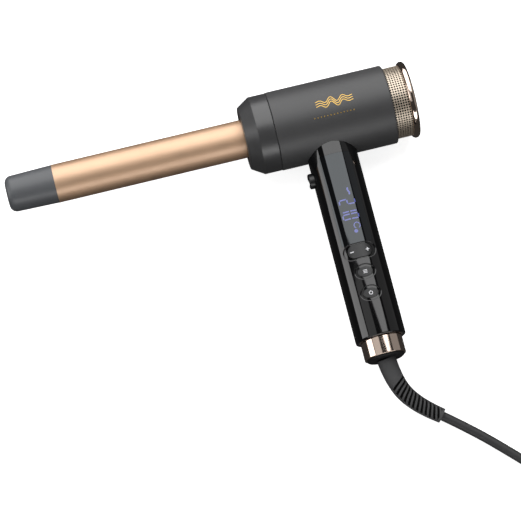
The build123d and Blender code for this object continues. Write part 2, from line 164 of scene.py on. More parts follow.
class SleeveSizes(bpy.types.PropertyGroup):
    columns: IntProperty(name="Columns", description="Holes side by side along the sleeve", default=7)
    around: IntProperty(name="Around", description="Holes around the sleeve", default=87)
    hole: length("Hole", "Diameter of one hole", 1.55)
    pitch: length("Pitch", "From hole to hole along the sleeve", 2.07)
    thickness: length("Thickness", "Wall of the sleeve", 0.6)


class ReliefSizes(bpy.types.PropertyGroup):
    root_radius: length("Root radius", "Where the guard leaves the gland", 7.9)
    end_radius: length("End radius", "Where the cord comes out", 6.15)
    plain: FloatProperty(name="Plain share", description="Share of the length with no ribs", default=0.24)
    rib_pitch: length("Rib pitch", "From rib to rib along the guard", 3.75)
    slot: length("Slot", "Width of the slots between the ribs", 1.7)
    groove: length("Groove", "Depth of the slots between the ribs", 2.2)


class CordSizes(bpy.types.PropertyGroup):
    diameter: length("Diameter", "Outside of the sheath", 7.6)
    columns: IntProperty(name="Turns side by side", description="Turns in one layer of the coil", default=4)
    per_turn: IntProperty(name="Points per turn", description="Control points in one turn", default=24)


class DisplaySizes(bpy.types.PropertyGroup):
    digit_height: length("Digit height", "Height of one digit", 12.8)
    digit_width: length("Digit width", "Width of one digit", 4.1)
    stroke: length("Stroke", "Width of one segment", 1.05)
    pitch: length("Pitch", "From digit to digit", 6.3)
    proud: length("Proud", "How far printed and lit marks stand above the surface", 0.08)


class WandSettings(bpy.types.PropertyGroup):
    colours: PointerProperty(type=WandColours, name="Colours", description="Colours of the finishes")
    sleeve: PointerProperty(type=SleeveSizes, name="Sleeve", description="Perforated sleeve")
    relief: PointerProperty(type=ReliefSizes, name="Strain relief", description="Ribbed cord guard")
    cord: PointerProperty(type=CordSizes, name="Cord", description="Mains cord")
    display: PointerProperty(type=DisplaySizes, name="Display", description="Lit digits and marks")


def settings():
    return bpy.context.scene.curling_wand


# ---- materials ----

CLOUD_SIZE = 30
SUM_LOW = 0.6
SUM_HIGH = 1.4


def add(tree, kind, inputs=None, **options):
    """Adds a node; inputs are values, or (node, output name) pairs, by socket name or number."""
    made = tree.nodes.new(kind)
    for name, value in options.items():
        setattr(made, name, value)
    for name, value in (inputs or {}).items():
        if isinstance(value, tuple) and isinstance(value[0], bpy.types.Node):
            tree.links.new(value[0].outputs[value[1]], made.inputs[name])
        else:
            made.inputs[name].default_value = value
    return made


def opaque(values):
    return (*values, 1.0)


def shaded(values, share):
    return opaque([min(1.0, v * share) for v in values])


def surface(
        name, values, roughness, shader, grain_mm, depth_mm,
        spread=0.08, tint=0.06, stretch=(1, 1, 1)):
    """A finish with a fine grain: noise of that size in mottling, roughness and bump.

    shader holds what is the same all over; spread is how far roughness wanders and tint how far
    the colour does. The slow cloud stands for handling and moulding flow, at CLOUD_SIZE times the
    grain. Roughness runs over the middle of the two noises' sum, from SUM_LOW to SUM_HIGH.
    """
    material = bpy.data.materials.new(name)
    material.use_nodes = True
    material.diffuse_color = opaque(values)
    tree = material.node_tree
    tree.nodes.clear()
    place = add(tree, "ShaderNodeTexCoord")
    mapped = add(tree, "ShaderNodeMapping", {"Vector": (place, "Object"), "Scale": stretch})
    grain = add(tree, "ShaderNodeTexNoise", {
        "Vector": (mapped, "Vector"), "Scale": 1 / (grain_mm * MM), "Detail": 3.0, "Roughness": 0.55})
    cloud = add(tree, "ShaderNodeTexNoise", {
        "Vector": (place, "Object"), "Scale": 1 / (CLOUD_SIZE * grain_mm * MM), "Detail": 2.0})
    both = add(tree, "ShaderNodeMath", {0: (grain, "Fac"), 1: (cloud, "Fac")}, operation="ADD")
    ramp = add(tree, "ShaderNodeValToRGB", {"Fac": (cloud, "Fac")})
    ramp.color_ramp.elements[0].color = shaded(values, 1 - tint)
    ramp.color_ramp.elements[1].color = shaded(values, 1 + tint)
    rough = add(tree, "ShaderNodeMapRange", {
        "Value": (both, "Value"), "From Min": SUM_LOW, "From Max": SUM_HIGH,
        "To Min": max(0.02, roughness - spread), "To Max": min(1.0, roughness + spread)})
    bump = add(tree, "ShaderNodeBump", {
        "Height": (grain, "Fac"), "Distance": depth_mm * MM, "Strength": 1.0})
    gloss = add(tree, "ShaderNodeBsdfPrincipled", {
        "Base Color": (ramp, "Color"), "Roughness": (rough, "Result"),
        "Normal": (bump, "Normal"), **shader})
    add(tree, "ShaderNodeOutputMaterial", {"Surface": (gloss, "BSDF")})
    return material


def anodised_aluminium():
    """Drawn tube, bead-blasted and anodised: satin, with a clear oxide layer that whitens its highlight."""
    return surface(
        "satin anodised aluminium", settings().colours.barrel, roughness=0.56,
        shader={"Metallic": 1.0, "Coat Weight": 0.8, "Coat Roughness": 0.34},
        grain_mm=0.35, depth_mm=0.004, spread=0.05, tint=0.03, stretch=(0.25, 1, 1))


def glass_filled_nylon():
    """Heat-resistant moulding from a spark-eroded tool: even satin grey with a faint grain."""
    return surface(
        "satin glass-filled nylon", settings().colours.tip, roughness=0.42,
        shader={"Specular IOR Level": 0.6},
        grain_mm=0.5, depth_mm=0.012)


def soft_touch():
    """Rubbery lacquer over ABS: no mirror image at all, a broad soft sheen, smooth to the eye."""
    return surface(
        "soft-touch lacquer on ABS", settings().colours.housing, roughness=0.50,
        shader={"Specular IOR Level": 0.75, "Sheen Weight": 0.06, "Sheen Roughness": 0.5},
        grain_mm=0.4, depth_mm=0.008, spread=0.04, tint=0.05)


def satin_abs():
    """Moulded ABS with a light polish: blurred bands of light along the ring."""
    return surface(
        "semi-gloss moulded ABS", settings().colours.nose, roughness=0.36,
        shader={"Specular IOR Level": 0.8},
        grain_mm=0.6, depth_mm=0.006)


def perforated_aluminium():
    """Punched sheet, anodised gold: bright satin between the holes."""
    return surface(
        "anodised perforated aluminium", settings().colours.sleeve, roughness=0.46,
        shader={"Metallic": 0.85, "Coat Weight": 0.3, "Coat Roughness": 0.2},
        grain_mm=0.3, depth_mm=0.004)


def rose_gold_plating():
    """Electroplated rose gold over polished metal: a true mirror with faint polishing haze."""
    return surface(
        "polished rose-gold plating", settings().colours.plating, roughness=0.09,
        shader={"Metallic": 1.0},
        grain_mm=0.8, depth_mm=0.0002, spread=0.02, tint=0.02)


def piano_black():
    """High-gloss black ABS: black body colour, mirror-like clear reflections with a slight wave."""
    return surface(
        "piano-black ABS", settings().colours.handle, roughness=0.05,
        shader={"Specular IOR Level": 0.75},
        grain_mm=3.0, depth_mm=0.0012, spread=0.02, tint=0.2)


def smoked_acrylic():
    """Tinted acrylic over the display: as glossy as the handle, a little bluer and lighter."""
    return surface(
        "smoked acrylic window", srgb("#090a0c"), roughness=0.045,
        shader={"Specular IOR Level": 0.8, "Specular Tint": (0.90, 0.96, 1.0, 1.0)},
        grain_mm=4.0, depth_mm=0.0010, spread=0.015, tint=0.1)


def satin_button():
    """Satin ABS button caps, duller than the handle, with a finer spark-eroded grain."""
    return surface(
        "satin ABS caps", srgb("#151617"), roughness=0.34, shader={"Specular IOR Level": 0.65},
        grain_mm=0.5, depth_mm=0.004, spread=0.05, tint=0.12)


def relief_elastomer():
    """Thermoplastic elastomer guard: matte, faintly dusty."""
    return surface(
        "matte thermoplastic elastomer", settings().colours.relief, roughness=0.62,
        shader={"Specular IOR Level": 0.45},
        grain_mm=0.35, depth_mm=0.02)


def gland_elastomer():
    """Dull near-black elastomer on the gland in the collar's mouth, darker than the guard."""
    return surface(
        "black gland elastomer", srgb("#151516"), roughness=0.6, shader={"Specular IOR Level": 0.3},
        grain_mm=0.35, depth_mm=0.02)


def slot_shade():
    """Painted shade on the bottom of the guard's slots, where hardly any light gets in: the same elastomer painted
    near-black.
    """
    return surface(
        "painted shade in the slots", srgb("#0b0b0c"), roughness=0.8, shader={"Specular IOR Level": 0.2},
        grain_mm=0.35, depth_mm=0.02)


def cord_pvc():
    """Extruded PVC sheath: matte with a dull sheen and fine extrusion grain."""
    return surface(
        "extruded PVC sheath", settings().colours.cord, roughness=0.55,
        shader={"Specular IOR Level": 0.45},
        grain_mm=0.4, depth_mm=0.015)


def plug_pvc():
    """PVC moulded over the plug: like the cord's sheath, with a coarser moulded grain."""
    return surface(
        "overmoulded PVC", srgb("#2b2b2c"), roughness=0.5, shader={"Specular IOR Level": 0.45},
        grain_mm=0.7, depth_mm=0.03)


def nickel_plating():
    """Nickel-plated brass pins, with a haze of fine scratches from use."""
    return surface(
        "nickel-plated brass", srgb("#cfcdc6"), roughness=0.18, shader={"Metallic": 1.0},
        grain_mm=0.3, depth_mm=0.002, spread=0.08, tint=0.05, stretch=(1, 0.1, 1))


def hook_and_loop():
    """Woven nylon strap: a dull pile."""
    return surface(
        "woven nylon strap", srgb("#1d1d1e"), roughness=0.85, shader={"Sheen Weight": 0.3},
        grain_mm=0.5, depth_mm=0.12, spread=0.05, tint=0.3)


def vent_abs():
    """Fine-textured black ABS of the rear cover."""
    return surface(
        "fine-textured ABS", srgb("#1b1b1c"), roughness=0.55, shader={},
        grain_mm=0.6, depth_mm=0.03)


def painted_shade_backing():
    """Painted shade behind the perforated sleeve: a near-black matte tube that keeps the holes dark."""
    return surface(
        "painted shade behind the holes", srgb("#060505"), roughness=0.95, shader={"Specular IOR Level": 0.1},
        grain_mm=0.3, depth_mm=0.1, spread=0.03, tint=0.4)


def alumina():
    """Sintered heater ceramic: chalky off-white."""
    return surface(
        "sintered alumina", srgb("#e2dfd6"), roughness=0.7, shader={},
        grain_mm=0.2, depth_mm=0.02)


def extruded_aluminium():
    """Bare extrusion with die lines along its length."""
    return surface(
        "bare extruded aluminium", srgb("#c4c5c7"), roughness=0.38, shader={"Metallic": 1.0},
        grain_mm=0.3, depth_mm=0.01, spread=0.1, tint=0.05, stretch=(0.05, 1, 1))


def inner_nylon():
    """Black glass-filled nylon of the inner frames, with pale fibre mottling."""
    return surface(
        "black glass-filled nylon", srgb("#232324"), roughness=0.6, shader={},
        grain_mm=0.4, depth_mm=0.03, spread=0.08, tint=0.25)


def epoxy_laminate():
    """Glass-epoxy circuit board under green solder resist."""
    return surface(
        "green solder resist", srgb("#1b5a34"), roughness=0.35, shader={"Coat Weight": 0.3},
        grain_mm=0.5, depth_mm=0.01, spread=0.05, tint=0.2)


def component_epoxy():
    """Moulded epoxy of switches and components."""
    return surface(
        "moulded epoxy", srgb("#171718"), roughness=0.5, shader={},
        grain_mm=0.3, depth_mm=0.015)


def zinc_steel():
    """Bright zinc plating on steel screws and pins."""
    return surface(
        "zinc-plated steel", srgb("#b9bbbe"), roughness=0.28, shader={"Metallic": 1.0},
        grain_mm=0.2, depth_mm=0.004, spread=0.1, tint=0.08)


def glass_fibre_sleeving():
    """Braided glass-fibre sleeving on the heater wires."""
    return surface(
        "braided glass fibre", srgb("#dcd7c9"), roughness=0.75, shader={"Sheen Weight": 0.3},
        grain_mm=0.4, depth_mm=0.08, spread=0.05, tint=0.15)


def pad_print():
    """White pad-printed ink on the buttons."""
    return surface(
        "white pad print", settings().colours.marks, roughness=0.4, shader={},
        grain_mm=0.2, depth_mm=0.004, spread=0.05, tint=0.04)


def hot_foil():
    """Gold foil stamped into the soft coating: metallic and slightly broken up."""
    return surface(
        "stamped gold foil", settings().colours.foil, roughness=0.34, shader={"Metallic": 0.85},
        grain_mm=0.25, depth_mm=0.01, spread=0.1, tint=0.12)


def lit_segment():
    """Light guide of the display under the window's gloss: glows, and still reflects."""
    glow = settings().colours.glow
    return surface(
        "lit display segment", [v * 0.5 for v in glow], roughness=0.08,
        shader={"Emission Color": opaque(glow), "Emission Strength": 0.30, "Specular IOR Level": 0.8},
        grain_mm=0.4, depth_mm=0.001, spread=0.02, tint=0.2)


FINISHES = {
    "tip_polymer": glass_filled_nylon,
    "barrel_anodised": anodised_aluminium,
    "soft_touch": soft_touch,
    "nose_satin": satin_abs,
    "gold_mesh": perforated_aluminium,
    "rose_gold": rose_gold_plating,
    "vent_plastic": vent_abs,
    "piano_black": piano_black,
    "window_gloss": smoked_acrylic,
    "button_gloss": satin_button,
    "relief_rubber": relief_elastomer,
    "cord_rubber": cord_pvc,
    "plug_moulding": plug_pvc,
    "pin_metal": nickel_plating,
    "heater_ceramic": alumina,
    "spreader_metal": extruded_aluminium,
    "inner_polymer": inner_nylon,
    "board_laminate": epoxy_laminate,
    "component_black": component_epoxy,
    "screw_steel": zinc_steel,
    "wire_sleeve": glass_fibre_sleeving,
    "tie_strap": hook_and_loop,
}
MADE = {}


def finish(maker):
    """A finish's material, made once."""
    if maker not in MADE:
        MADE[maker] = maker()
    return MADE[maker]


def coat(piece, maker):
    piece.data.materials.clear()
    piece.data.materials.append(finish(maker))


# ---- modelling helpers ----

def deselect():
    if bpy.context.mode != "OBJECT":
        bpy.ops.object.mode_set(mode="OBJECT")
    bpy.ops.object.select_all(action="DESELECT")


def hold(*pieces):
    """Selects these pieces only, and makes the first one active."""
    deselect()
    for piece in pieces:
        piece.select_set(True)
    bpy.context.view_layer.objects.active = pieces[0]


def named(name):
    """Names the piece that a primitive has just made."""
    piece = bpy.context.active_object
    piece.name = name
    piece.data.name = name
    return piece


def edit(piece):
    hold(piece)
    bpy.ops.object.mode_set(mode="EDIT")


def done():
    bpy.ops.object.mode_set(mode="OBJECT")


def choose(piece, test):
    """In edit mode, selects the vertices whose place passes the test."""
    bpy.ops.mesh.select_mode(type="VERT")
    bpy.ops.mesh.select_all(action="DESELECT")
    mesh = bmesh.from_edit_mesh(piece.data)
    for vertex in mesh.verts:
        if test(vertex.co):
            vertex.select_set(True)
    mesh.select_flush(True)
    bmesh.update_edit_mesh(piece.data)


def stack(piece, kind, **options):
    """Adds a modifier with its options and applies it."""
    hold(piece)
    modifier = piece.modifiers.new(kind.title(), kind)
    for name, value in options.items():
        setattr(modifier, name, value)
    bpy.ops.object.modifier_apply(modifier=modifier.name)


def bake_place(piece):
    """Moves an object's place, turn and scale into its mesh."""
    hold(piece)
    bpy.ops.object.transform_apply(location=True, rotation=True, scale=True)


def clamp(value):
    """Held between 0 and 1."""
    return min(1.0, max(0.0, value))


def reshape(piece, move):
    """Moves every vertex by a rule."""
    for vertex in piece.data.vertices:
        vertex.co = move(vertex.co.copy())
    piece.data.update()


def tidy_mesh(piece, merge=0.00001, outward=True):
    """Merges doubles and points the faces outwards."""
    edit(piece)
    bpy.ops.mesh.select_all(action="SELECT")
    bpy.ops.mesh.remove_doubles(threshold=merge)
    if outward:
        bpy.ops.mesh.normals_make_consistent(inside=False)
    done()


def smooth(piece, degrees=35):
    hold(piece)
    bpy.ops.object.shade_smooth_by_angle(angle=radians(degrees))


def join(pieces, name):
    hold(*pieces)
    if len(pieces) > 1:
        bpy.ops.object.join()
    return named(name)


def place_on_wand(piece):
    piece.data.transform(WAND)
    piece.data.update()


def fit_on(piece, body, maker, replaced=()):
    """Gives a finished piece its material and slot, and fixes it to its body."""
    coat(piece, maker)
    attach(piece, body)
    if replaced:
        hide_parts(*replaced)


def turned_profile(name, points, steps=128):
    """A ring turned about X from a closed outline of (distance along X, radius) points, in metres."""
    mesh = bpy.data.meshes.new(name)
    edges = [(i, (i + 1) % len(points)) for i in range(len(points))]
    mesh.from_pydata([(x, 0, r) for x, r in points], edges, [])
    piece = bpy.data.objects.new(name, mesh)
    bpy.context.scene.collection.objects.link(piece)
    edit(piece)
    bpy.ops.mesh.select_all(action="SELECT")
    bpy.ops.mesh.spin(steps=steps, angle=2 * pi, center=(0, 0, 0), axis=(1, 0, 0))
    done()
    tidy_mesh(piece, 0.000005)
    return piece


# ---- lit and printed marks: flat plates, wrapped onto a curved surface ----

def wrap_on_handle(radius):
    """Flat X goes round the handle's display side, Y stays along it, Z is the height above it."""
    def move(co):
        turn = co.x / radius
        return Vector(((radius + co.z) * sin(turn), co.y, (radius + co.z) * cos(turn)))
    return move


def wrap_on_housing(radius):
    """Flat Y goes round the housing's axis, X stays along it, Z is the height above it."""
    def move(co):
        turn = co.y / radius
        return Vector((co.x, (radius + co.z) * sin(turn), (radius + co.z) * cos(turn)))
    return move


def stroke(name, points, width, height, closed=False):
    """A flat ribbon of that width along XY points, square at its ends, as a thin plate on Z = 0."""
    count = len(points)
    sides = []
    for i, point in enumerate(points):
        before = Vector(points[(i - 1) % count] if closed or i else points[0])
        after = Vector(points[(i + 1) % count] if closed or i < count - 1 else points[-1])
        along = (after - before).normalized()
        across = Vector((-along.y, along.x)) * width / 2
        sides.append((Vector(point) + across, Vector(point) - across))
    corners = [(*side, 0) for pair in sides for side in pair]
    steps = range(count if closed else count - 1)
    faces = [(2 * i, 2 * i + 1, (2 * i + 3) % (2 * count), (2 * i + 2) % (2 * count)) for i in steps]
    mesh = bpy.data.meshes.new(name)
    mesh.from_pydata(corners, [], faces)
    piece = bpy.data.objects.new(name, mesh)
    bpy.context.scene.collection.objects.link(piece)
    edit(piece)
    bpy.ops.mesh.select_all(action="SELECT")
    bpy.ops.mesh.extrude_region_move(TRANSFORM_OT_translate={"value": (0, 0, height)})
    done()
    tidy_mesh(piece)
    return piece


def line(start, end, steps=6):
    """Evenly spaced points from start to end."""
    start, end = Vector(start), Vector(end)
    return [tuple(start.lerp(end, i / steps)) for i in range(steps + 1)]


def arc(centre, radius, start, end, steps=20):
    """Points along an arc, between two angles in degrees."""
    angles = [radians(start + (end - start) * i / steps) for i in range(steps + 1)]
    return [(centre[0] + radius * cos(a), centre[1] + radius * sin(a)) for a in angles]


SEGMENTS = {"0": "abcdef", "1": "bc", "2": "abged"}


def digit(sign, top_left, sizes):
    """The lit segments of one digit, read down the handle: its top is towards +X."""
    wide, tall, gap = sizes.digit_width, sizes.digit_height / 2, sizes.stroke * 0.55
    x, y = top_left
    runs = {
        "a": ((x, y - gap), (x, y - wide + gap)),
        "b": ((x - gap, y - wide), (x - tall + gap, y - wide)),
        "c": ((x - tall - gap, y - wide), (x - 2 * tall + gap, y - wide)),
        "d": ((x - 2 * tall, y - gap), (x - 2 * tall, y - wide + gap)),
        "e": ((x - tall - gap, y), (x - 2 * tall + gap, y)),
        "f": ((x - gap, y), (x - tall + gap, y)),
        "g": ((x - tall, y - gap), (x - tall, y - wide + gap)),
    }
    return [stroke("segment", line(*runs[k]), sizes.stroke, sizes.proud) for k in SEGMENTS[sign]]


# ---- the operators ----

class WAND_OT_set_stage(bpy.types.Operator):
    """Sets up the camera, the pale floor and the soft studio light."""

    bl_idname = "wand.set_stage"
    bl_label = "Set the stage"

    EYE = (-0.07980, -0.62226, 1.88295)
    TARGET = (0.01683, -0.01817, 0.033)
    LENS = 165.83
    ROLL = -4.918
    OVERHEAD_OUTLINE = [
        (-1.00, 1.15), (-0.92, -0.56), (-0.43, -0.67), (-0.16, -0.72), (0.42, -0.84), (0.75, -0.79),
        (0.98, -0.705), (0.96, -0.55), (1.04, -0.40), (1.10, 1.15)]
    LEFT_OUTLINE = [
        (-0.28, 0.50), (-0.47, 0.28), (-0.65, 0.07), (-0.80, -0.12), (0.02, -0.12), (0.02, 0.50)]
    DIM_OUTLINE = [(-1.35, 0.25), (-0.43, 0.13), (-0.30, 0.05), (-0.30, -0.50), (-1.35, -0.50)]
    RIGHT_OUTLINE = [(-1.1, -0.7), (-1.1, 0.7), (0.10, 0.7), (0.10, -0.7)]
    FLOOR_RADIUS = 6
    FLOOR_GLOW = 0.88

    def execute(self, context):
        self.camera(context.scene)
        self.floor()
        self.world(context.scene)
        tilted = Matrix.Rotation(radians(-40), 4, "X")
        upright = Matrix.Rotation(radians(90), 4, "Y")
        overhead = WAND @ tilted @ Matrix.Translation((0, 0, 1.1))
        self.card("overhead card", overhead, self.OVERHEAD_OUTLINE, 2.4)
        left = WAND @ Matrix.Translation((-1.0, 0, 0)) @ upright
        self.card("left card", left, self.LEFT_OUTLINE, 2.3)
        above_left = WAND @ Matrix.Translation((0, 0, 1.05))
        self.card("dim card", above_left, self.DIM_OUTLINE, 0.6)
        right = WAND @ Matrix.Translation((1.2, 0, 0)) @ upright
        self.card("right card", right, self.RIGHT_OUTLINE, 0.28)
        self.strip("near strip", (0.0, -1.0, 0.36), (0, 0, 0.03), (2.0, 0.42), 7)
        context.scene.view_settings.view_transform = "Standard"
        return {"FINISHED"}

    def camera(self, scene):
        """Looks down on the display side from a little towards the handle's end."""
        data = bpy.data.cameras.new("camera")
        data.sensor_width = 36
        data.lens = self.LENS
        data.clip_end = 50
        camera = bpy.data.objects.new("camera", data)
        scene.collection.objects.link(camera)
        eye = Vector(self.EYE)
        target = Vector(self.TARGET)
        level = (target - eye).to_track_quat("-Z", "Y").to_matrix().to_4x4()
        tilt = Matrix.Rotation(radians(self.ROLL), 4, "Z")
        camera.matrix_world = Matrix.Translation(eye) @ level @ tilt
        scene.camera = camera

    def floor(self):
        """A pale floor that glows a little, so that it stays white, and that nothing reflects."""
        deselect()
        bpy.ops.mesh.primitive_circle_add(
            vertices=64, radius=self.FLOOR_RADIUS, fill_type="NGON", location=(0, 0, 0))
        floor = named("floor")
        bake_place(floor)
        material = bpy.data.materials.new("pale studio floor")
        material.use_nodes = True
        tree = material.node_tree
        tree.nodes.clear()
        place = add(tree, "ShaderNodeTexCoord")
        cloud = add(tree, "ShaderNodeTexNoise", {"Vector": (place, "Object"), "Scale": 6.0})
        pale = settings().colours.floor
        ramp = add(tree, "ShaderNodeValToRGB", {"Fac": (cloud, "Fac")})
        ramp.color_ramp.elements[0].color = shaded(pale, 0.99)
        ramp.color_ramp.elements[1].color = opaque(pale)
        gloss = add(tree, "ShaderNodeBsdfPrincipled", {
            "Base Color": (ramp, "Color"), "Roughness": 0.9, "Specular IOR Level": 0.1,
            "Emission Color": opaque(pale), "Emission Strength": self.FLOOR_GLOW})
        add(tree, "ShaderNodeOutputMaterial", {"Surface": (gloss, "BSDF")})
        floor.data.materials.append(material)
        floor.visible_glossy = False
        floor.visible_diffuse = False

    def world(self, scene):
        """A faint even light from all round."""
        world = bpy.data.worlds.new("studio")
        scene.world = world
        world.use_nodes = True
        background = world.node_tree.nodes["Background"]
        background.inputs["Color"].default_value = (1, 1, 1, 1)
        background.inputs["Strength"].default_value = 0.04

    def card(self, name, place, corners, strength):
        """A flat glowing card that the gloss and the satin reflect, and the camera does not see."""
        mesh = bpy.data.meshes.new(name)
        mesh.from_pydata([(x, y, 0) for x, y in corners], [], [tuple(range(len(corners)))])
        card = bpy.data.objects.new(name, mesh)
        bpy.context.scene.collection.objects.link(card)
        mesh.transform(place)
        material = bpy.data.materials.new(name + " glow")
        material.use_nodes = True
        tree = material.node_tree
        tree.nodes.clear()
        glow = add(tree, "ShaderNodeEmission", {"Color": (1, 1, 1, 1), "Strength": strength})
        add(tree, "ShaderNodeOutputMaterial", {"Surface": (glow, "Emission")})
        mesh.materials.append(material)
        card.visible_camera = False
        card.visible_shadow = False

    def strip(self, name, place, target, size, power):
        """A rectangular soft light that faces a point."""
        data = bpy.data.lights.new(name, "AREA")
        data.shape = "RECTANGLE"
        data.size, data.size_y = size
        data.energy = power
        lamp = bpy.data.objects.new(name, data)
        bpy.context.scene.collection.objects.link(lamp)
        lamp.location = place
        lamp.rotation_euler = (Vector(target) - Vector(place)).to_track_quat("-Z", "Y").to_euler()


class WAND_OT_lay_cord(bpy.types.Operator):
    """Lays the mains cord along the table, winds its spare length and leads it to the plug."""

    bl_idname = "wand.lay_cord"
    bl_label = "Lay the cord"

    ENTRY = -135.0
    STEP_SHARE = 0.14

    def execute(self, context):
        sizes = settings().cord
        points = LEAD_ROUTE + self.turns(sizes) + END_ROUTE
        data = bpy.data.curves.new("mains_cord", "CURVE")
        data.dimensions = "3D"
        data.bevel_depth = sizes.diameter / 2
        data.bevel_resolution = 7
        data.use_fill_caps = True
        spline = data.splines.new("NURBS")
        spline.points.add(len(points) - 1)
        for point, place in zip(spline.points, points):
            point.co = (*place, 1)
        spline.order_u = 3
        spline.use_endpoint_u = True
        spline.resolution_u = 6
        cord = bpy.data.objects.new("mains_cord", data)
        context.scene.collection.objects.link(cord)
        fit_on(cord, "wand", cord_pvc, ("cord_lead", "cord_coil", "cord_end"))
        context.view_layer.update()
        return {"FINISHED"}

    def turns(self, sizes):
        """Control points of the coil: inwards on the table in four rings, up, and outwards again.

        Each ring is a full turn, and the cord steps to the next one over the turn's last part. The
        coil is entered three eighths of a turn before its +X side and left on that side, so the
        last ring runs on for those three eighths.
        """
        step = sizes.diameter
        low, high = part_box("cord_coil")
        centre = (low + high) / 2
        outer = (high.x - low.x) / 2 - step / 2
        radii = [outer - step * i for i in range(sizes.columns)]
        lower = [(radius, step / 2) for radius in radii]
        upper = [(radius, 1.5 * step) for radius in reversed(radii)]
        rings = lower + upper
        start, leave = self.ENTRY, 360.0 * len(rings)
        points = []
        count = round((leave - start) / 360 * sizes.per_turn)
        for i in range(count + 1):
            angle = start + (leave - start) * i / count
            turn = min((angle - start) / 360, len(rings) - 0.001)
            ring = int(turn)
            share = max(0.0, (turn - ring - (1 - self.STEP_SHARE)) / self.STEP_SHARE)
            here = rings[ring]
            after = rings[min(ring + 1, len(rings) - 1)]
            radius = here[0] + (after[0] - here[0]) * share
            height = here[1] + (after[1] - here[1]) * share
            x = centre.x + radius * cos(radians(angle))
            y = centre.y + radius * sin(radians(angle))
            points.append((x, y, height))
        return points


class WAND_OT_mould_relief(bpy.types.Operator):
    """Moulds the ribbed guard that the cord leaves the handle through."""

    bl_idname = "wand.mould_relief"
    bl_label = "Mould the strain relief"

    AROUND = 80
    ALONG = 440
    END_RING = 0.0018
    SLOT_WALL = 0.00035
    SLOTS_END = 0.975
    SLOTS_FADE = 0.02
    RAIL_AT = 0.90
    RAIL_FADE = 0.05
    FLOOR_DEPTH = 0.35
    PLAIN_END = 0.001

    def execute(self, context):
        sizes = settings().relief
        guide = self.guide(context)
        reach = guide.data.splines[0].calc_length()
        deselect()
        bpy.ops.mesh.primitive_grid_add(
            x_subdivisions=self.ALONG, y_subdivisions=self.AROUND, size=1, location=(0, 0, 0))
        relief = named("ribbed_strain_relief")
        reshape(relief, lambda co: self.ribbed(co, sizes, reach))
        tidy_mesh(relief, 0.00002, outward=False)
        edit(relief)
        choose(relief, lambda co: co.x < 0.00001)
        bpy.ops.mesh.edge_face_add()
        choose(relief, lambda co: co.x > reach - 0.00001)
        bpy.ops.mesh.edge_face_add()
        bpy.ops.mesh.inset(thickness=self.END_RING)
        done()
        tidy_mesh(relief, 0.00001)
        faces = relief.data.polygons
        # faces deep in the slots are given a near-black material as painted shade
        painted_shade_faces = [face.index for face in faces if self.in_slot(face.center, sizes, reach)]
        stack(relief, "CURVE", object=guide, deform_axis="POS_X")
        bpy.data.objects.remove(guide)
        smooth(relief, 40)
        fit_on(relief, "wand", relief_elastomer, ("strain_relief",))
        relief.data.materials.append(finish(slot_shade))
        for index in painted_shade_faces:
            relief.data.polygons[index].material_index = 1
        return {"FINISHED"}

    def guide(self, context):
        """The sagging line of the guard, from the gland's end to where the cord leaves it."""
        gland = on_wand("cord_gland")[0].y
        points = [WAND @ Vector((0, gland, 0))] + [Vector(point) for point in RELIEF_LINE]
        data = bpy.data.curves.new("guide", "CURVE")
        data.dimensions = "3D"
        spline = data.splines.new("BEZIER")
        spline.bezier_points.add(len(points) - 1)
        for knot, place in zip(spline.bezier_points, points):
            knot.co = place
            knot.handle_left_type = knot.handle_right_type = "AUTO"
        spline.resolution_u = 32
        guide = bpy.data.objects.new("guide", data)
        context.scene.collection.objects.link(guide)
        context.view_layer.update()
        return guide

    def in_slot(self, centre, sizes, reach):
        """Whether a face of the straight guard lies well below its outer surface, away from the ends."""
        outer = sizes.root_radius + (sizes.end_radius - sizes.root_radius) * centre.x / reach
        depth = outer - Vector((centre.y, centre.z)).length
        inside = self.PLAIN_END < centre.x < reach - self.PLAIN_END
        return depth > self.FLOOR_DEPTH * sizes.groove and inside

    def ribbed(self, co, sizes, reach):
        """Rolls the flat grid into a tapered tube, with slanted slots between two plain rails."""
        share, turn = co.x + 0.5, 2 * pi * (co.y + 0.5)
        radius = sizes.root_radius + (sizes.end_radius - sizes.root_radius) * share
        along = share * reach
        phase = (along - sizes.plain * reach) / sizes.rib_pitch - 2 * (turn % pi) / pi
        off = abs(phase % 1.0 - 0.5) * sizes.rib_pitch - sizes.slot / 2
        slot = clamp(0.5 - off / self.SLOT_WALL)
        within = clamp((self.SLOTS_END - share) / self.SLOTS_FADE) if phase >= 0 else 0.0
        rail = clamp((self.RAIL_AT - abs(cos(turn))) / self.RAIL_FADE)
        radius -= sizes.groove * within * rail * slot
        return Vector((along, radius * cos(turn), radius * sin(turn)))


